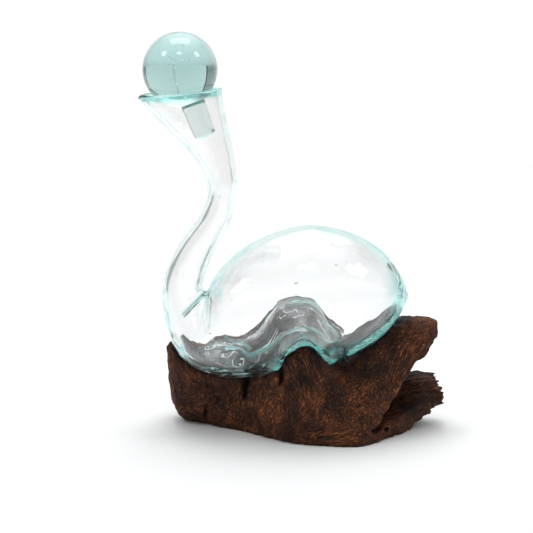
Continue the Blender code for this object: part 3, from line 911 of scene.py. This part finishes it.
def fibre_sum(tree, place, across, along, detail):
    """Shader noise drawn out along the fibres, blended over the fixed directions."""
    split = tree.nodes.new("ShaderNodeSeparateXYZ")
    tree.links.new(place, split.inputs[0])
    x, y, z = split.outputs
    weights = tree.nodes.new("ShaderNodeSeparateXYZ")
    tree.links.new(attribute_node(tree, "flow").outputs["Vector"], weights.inputs[0])
    total = None
    for k, degrees in enumerate(FIBRE_FRAMES):
        c, s = math.cos(math.radians(degrees)), math.sin(math.radians(degrees))
        u = weighted_sum(tree, x, c / along, z, s / along)
        v = weighted_sum(tree, x, -s / across, z, c / across)
        place_k = tree.nodes.new("ShaderNodeCombineXYZ")
        tree.links.new(v, place_k.inputs[0])
        tree.links.new(math_node(tree, "MULTIPLY", y, 1 / across), place_k.inputs[1])
        tree.links.new(u, place_k.inputs[2])
        value = math_node(tree, "SUBTRACT", noise_node(tree, place_k.outputs[0], 1.0, detail, 0.6), 0.5)
        part = math_node(tree, "MULTIPLY", value, weights.outputs[k])
        total = part if total is None else math_node(tree, "ADD", total, part)
    return math_node(tree, "ADD", math_node(tree, "MULTIPLY", total, 1.25), 0.5)


def wood_material():
    """Dark oiled root: fine golden fibres on brown, lighter on crests, with painted shade in its splits,
    grooves and lower flap, scorched near the glass, charred grey under it.
    """
    material, tree, shader, _ = node_material("root_wood_fibrous")
    place = attribute_node(tree, "place").outputs["Vector"]
    strokes = fibre_sum(tree, place, 0.95, 10.0, 3.0)
    threads = fibre_sum(tree, place, 0.38, 4.5, 2.0)
    grain = weighted_sum(tree, strokes, 0.66, threads, 0.34)
    brown = ramp_node(tree, grain, (
        (0.34, (0.0085, 0.0030, 0.0017)),
        (0.45, (0.0320, 0.0098, 0.0042)),
        (0.54, (0.0830, 0.0250, 0.0090)),
        (0.62, (0.2200, 0.0790, 0.0225)),
        (0.71, (0.4700, 0.2050, 0.0640)),
    ))
    patches = ramp_node(tree, noise_node(tree, place, 0.045, 4.0), (
        (0.34, (0.29, 0.28, 0.29)),
        (0.50, (0.86, 0.83, 0.80)),
        (0.66, (1.50, 1.42, 1.30)),
    ))
    brown = mix_node(tree, 1.0, brown, patches, "MULTIPLY")
    relief = attribute_node(tree, "relief").outputs["Fac"]
    # Lighter on crests, as wear, and darker in grooves, between lumps and on the lower flap, as painted shade.
    brown = mix_node(tree, 1.0, brown, ramp_node(tree, relief, (
        (0.25, (0.42, 0.40, 0.40)),
        (0.55, (1.0, 1.0, 1.0)),
        (0.85, (1.55, 1.45, 1.30)),
    )), "MULTIPLY")
    distance = attribute_node(tree, "glass_distance").outputs["Fac"]
    scorch = ramp_node(tree, distance, (
        (0.08, (0.30, 0.27, 0.27)),
        (0.50, (1.0, 1.0, 1.0)),
    ))
    brown = mix_node(tree, 1.0, brown, scorch, "MULTIPLY")
    crackle = noise_node(tree, place, 0.21, 7.0, 0.68)
    charcoal = ramp_node(tree, crackle, (
        (0.38, (0.007, 0.006, 0.006)),
        (0.50, (0.040, 0.036, 0.036)),
        (0.64, (0.175, 0.156, 0.156)),
    ))
    colour = mix_node(tree, attribute_node(tree, "char").outputs["Fac"], brown, charcoal)
    # Painted shade: the splits are darkened to near black.
    crack_shade = attribute_node(tree, "crack_shade").outputs["Fac"]
    colour = mix_node(tree, crack_shade, colour, (0.006, 0.0035, 0.0025))
    tree.links.new(colour, shader.inputs["Base Color"])
    set_values(shader, {"Roughness": 0.68, "Specular IOR Level": 0.22})
    height = weighted_sum(tree, grain, 1.0, crackle, 0.35)
    bump = tree.nodes.new("ShaderNodeBump")
    set_values(bump, {"Strength": 0.8, "Distance": 0.0011})
    tree.links.new(height, bump.inputs["Height"])
    tree.links.new(bump.outputs["Normal"], shader.inputs["Normal"])
    return material


def torn_end(p):
    """How far the lower flap's torn end is eaten back towards the root, in mm."""
    if p.x < TORN_X or p.z > FLAP_TOP:
        return 0.0
    teeth = noise.noise(Vector((p.y / 4.5, p.z / 3.2, 3.0)))
    teeth += 0.6 * noise.noise(Vector((p.y / 2.0, p.z / 1.6, 9.0)))
    return smooth_step((p.x - TORN_X) / TORN_RANGE) * (TORN_DEPTH + TEETH_DEPTH * teeth)


def flap_shade(p):
    """How much darker the lower flap is at a point, as a share of the wood's relief."""
    along = smooth_step((p.x - 70) / 10)
    return 0.22 * along * smooth_step((p.z - 8) / 16) * smooth_step((50 - p.z) / 6)


def laid_on_glass(p, free, glass_tree):
    """A point of the wood, moved off the glass where it would cut it or is part of the seat.

    Also gives its distance from the glass and the glass's outward direction there.
    """
    near, outward, _, distance = glass_tree.find_nearest(p)
    gap = (p - near).dot(outward)
    if distance < SEAT_REACH and (gap < SEAT_AIR or free < SEAT_SHARE):
        return near + outward * SEAT_AIR, SEAT_AIR, outward
    return p, distance, outward


def charring(p, normal, distance, outward):
    """How charred the wood is at a point, from 0 to 1: under the glass, and wider on the upper lobe."""
    on_lobe = smooth_step((p.x - LOBE_X) / LOBE_RANGE)
    burnt_to = 1.2 + 6.5 * on_lobe * smooth_step((outward.y + 0.32) / 0.14)
    steepest = 0.75 + 0.2 * math.exp(-((p.x + 32) / 14) ** 2)
    inward = smooth_step((normal.y + steepest) / 0.35) * (1 - on_lobe * smooth_step((-9 - p.y) / 5))
    return (1 - smooth_step((distance - 0.6 * burnt_to) / (0.5 * burnt_to))) * inward


def voxel_mesh(node, name):
    """A copy of a CAD node's mesh as even small quads."""
    coarse = bpy.data.objects.new("coarse", node.data.copy())
    bpy.context.scene.collection.objects.link(coarse)
    remesh = coarse.modifiers.new("remesh", "REMESH")
    remesh.mode = "VOXEL"
    remesh.voxel_size = WOOD_VOXEL * MM
    bpy.context.view_layer.update()
    mesh = bpy.data.meshes.new_from_object(coarse.evaluated_get(bpy.context.evaluated_depsgraph_get()))
    bpy.data.objects.remove(coarse)
    mesh.name = name
    return mesh


def make_root(material, glass_outside):
    """The root: the CAD block with fibres, cracks and a torn flap, and its seat fitted to the glass."""
    mesh = voxel_mesh(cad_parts["root_base"], "root_wood")
    points = [p for ring in glass_outside for p in ring]
    glass_tree = BVHTree.FromPolygons(points, tube_faces(len(glass_outside), VESSEL_SEGMENTS))
    places, flows, reliefs, distances, hollows, chars = [], [], [], [], [], []
    for vertex, normal in zip(mesh.vertices, [v.normal.copy() for v in mesh.vertices]):
        p = vertex.co / MM
        weights = frame_weights(flow_angle(p.x, p.z))
        on_floor = p.z < 0.4 and normal.z < -0.7
        _, _, _, distance = glass_tree.find_nearest(p)
        free = smooth_step((distance - FREE_FROM) / FREE_RANGE)
        grooves, ribs = (height * fibre_noise(p, weights, *cell) for *cell, height in (GROOVES, RIBS))
        lumps = sum(noise.noise(p / size) * height for size, height in LUMPS)
        depth, dark = crack_depth(p) if normal.y < -0.1 else (0.0, 0.0)
        moved = p.copy()
        if not on_floor:
            moved += normal * (lumps + grooves + ribs) * free
            moved += Vector((0.0, depth, 0.0)) * free
            moved.x -= torn_end(p)
        moved, distance, outward = laid_on_glass(moved, free, glass_tree)
        moved.z = max(moved.z, 0.0)
        vertex.co = moved * MM
        places += list(p)
        flows += weights
        # The relief: high on crests, which look worn, and low in grooves and on the flap, which get painted
        # shade.
        reliefs.append(0.5 + 0.22 * (grooves + 0.6 * lumps + ribs) - flap_shade(p))
        distances.append(min(distance / SCORCH_REACH, 1.0))
        # Painted shade: how dark the split is at this point.
        hollows.append(dark)
        chars.append(charring(p, normal, distance, outward))
    mesh.update()
    for name, kind, field, values in (
        ("place", "FLOAT_VECTOR", "vector", places),
        ("flow", "FLOAT_VECTOR", "vector", flows),
        ("relief", "FLOAT", "value", reliefs),
        ("glass_distance", "FLOAT", "value", distances),
        ("crack_shade", "FLOAT", "value", hollows),
        ("char", "FLOAT", "value", chars),
    ):
        mesh.attributes.new(name, kind, "POINT").data.foreach_set(field, values)
    place_piece("root_wood", mesh, material, "root", "root_base")


# ---- stage, light and camera ----

def plain_quad(name, corners, material):
    """A flat four-cornered stage piece, from corners in metres."""
    mesh = bpy.data.meshes.new(name)
    mesh.from_pydata(corners, [], [(0, 1, 2, 3)])
    mesh.materials.append(material)
    quad = bpy.data.objects.new(name, mesh)
    bpy.context.scene.collection.objects.link(quad)


def upright(left, right, name, material):
    """A flat stage piece standing behind the object, from left to right in metres."""
    y, h = PANEL_Y, PANEL_HEIGHT
    plain_quad(name, [(left, y, 0), (right, y, 0), (right, y, h), (left, y, h)], material)


def make_stage():
    """A pale floor, and a lit white panel behind it between two narrow dark flags."""
    paper, _, shader, _ = node_material("studio_floor")
    set_values(shader, {"Base Color": (0.9, 0.9, 0.9, 1), "Roughness": 0.9, "Specular IOR Level": 0.0})
    r = FLOOR_REACH
    plain_quad("floor", [(-r, -r, 0), (r, -r, 0), (r, r, 0), (-r, r, 0)], paper)
    panel, _, shader, _ = node_material("studio_panel")
    set_values(shader, {
        "Base Color": (0.0, 0.0, 0.0, 1),
        "Specular IOR Level": 0.0,
        "Emission Color": (1, 1, 1, 1),
        "Emission Strength": PANEL_GLOW,
    })
    upright(PANEL_LEFT, PANEL_RIGHT, "backdrop_panel", panel)
    black, _, shader, _ = node_material("studio_flag")
    set_values(shader, {"Base Color": (0.01, 0.01, 0.01, 1), "Roughness": 0.9})
    upright(PANEL_LEFT - FLAG_WIDTH, PANEL_LEFT, "left_flag", black)
    upright(PANEL_RIGHT, PANEL_RIGHT + 2 * FLAG_WIDTH, "right_flag", black)


def make_diffuser(name, centre, half_width, half_depth, radiance):
    """A glowing sheet that looks down, whose light fades out softly towards its edges."""
    cloth, tree, shader, _ = node_material(name)
    place = tree.nodes.new("ShaderNodeTexCoord")
    split = tree.nodes.new("ShaderNodeSeparateXYZ")
    tree.links.new(place.outputs["Generated"], split.inputs[0])
    fades = []
    for axis in ("X", "Y"):
        from_middle = math_node(tree, "ABSOLUTE", math_node(tree, "SUBTRACT", split.outputs[axis], 0.5))
        fade = tree.nodes.new("ShaderNodeMapRange")
        fade.interpolation_type = "SMOOTHSTEP"
        set_values(fade, {"From Min": 0.5, "From Max": 0.12})
        tree.links.new(from_middle, fade.inputs["Value"])
        fades.append(fade.outputs["Result"])
    glow = math_node(tree, "MULTIPLY", math_node(tree, "MULTIPLY", fades[0], fades[1]), radiance)
    facing = tree.nodes.new("ShaderNodeNewGeometry")
    downward = math_node(tree, "SUBTRACT", 1.0, facing.outputs["Backfacing"])
    lit = math_node(tree, "MULTIPLY", glow, downward)
    set_values(shader, {
        "Base Color": (0.0, 0.0, 0.0, 1),
        "Specular IOR Level": 0.0,
        "Emission Color": (*ROOM_COLOUR, 1),
    })
    tree.links.new(math_node(tree, "ADD", lit, ROOM_GLOW), shader.inputs["Emission Strength"])
    x, y, z = centre
    w, d = half_width, half_depth
    plain_quad(name, [(x - w, y + d, z), (x + w, y + d, z), (x + w, y - d, z), (x - w, y - d, z)], cloth)


def soft_box(name, place, target, width, depth, radiance):
    """A rectangular diffuser which faces a target; sizes in metres."""
    data = bpy.data.lights.new(name, "AREA")
    data.shape = "RECTANGLE"
    data.size = width
    data.size_y = depth
    data.energy = radiance * math.pi * width * depth
    light = bpy.data.objects.new(name, data)
    light.location = place
    light.rotation_euler = (Vector(place) - Vector(target)).to_track_quat("Z", "Y").to_euler()
    bpy.context.scene.collection.objects.link(light)


def make_light():
    """An even pale room, a big soft diffuser overhead and four soft boxes, which the glass reflects."""
    world = bpy.data.worlds.new("studio")
    bpy.context.scene.world = world
    world.use_nodes = True
    background = world.node_tree.nodes["Background"]
    set_values(background, {"Color": (*ROOM_COLOUR, 1), "Strength": ROOM_GLOW})
    make_diffuser("overhead_diffuser", *DIFFUSER)
    for box in SOFT_BOXES:
        soft_box(*box)


def make_camera():
    """The camera, level across and looking down a little on the object's front."""
    data = bpy.data.cameras.new("camera")
    data.sensor_width = SENSOR_WIDTH
    data.lens = SENSOR_WIDTH / 2 / HALF_VIEW
    data.clip_start = 0.01
    camera = bpy.data.objects.new("camera", data)
    back = Vector((0, -math.cos(CAMERA_ELEVATION), math.sin(CAMERA_ELEVATION)))
    camera.location = CAMERA_TARGET + back * CAMERA_DISTANCE
    camera.rotation_euler = back.to_track_quat("Z", "Y").to_euler()
    bpy.context.scene.collection.objects.link(camera)
    bpy.context.scene.camera = camera


def main():
    """The stage first, then the vessel, the stopper and the root that fits the vessel."""
    scene = bpy.context.scene
    scene.view_settings.view_transform = "Standard"
    scene.cycles.max_bounces = GLASS_BOUNCES
    scene.cycles.transmission_bounces = GLASS_BOUNCES
    scene.cycles.glossy_bounces = GLASS_BOUNCES
    make_stage()
    make_light()
    make_camera()
    outside = make_vessel(glass("vessel_clear_glass", VESSEL_ABSORPTION, VESSEL_DENSITY))
    make_stopper(glass("stopper_tinted_glass", STOPPER_ABSORPTION, STOPPER_DENSITY))
    make_root(wood_material(), outside)


main()
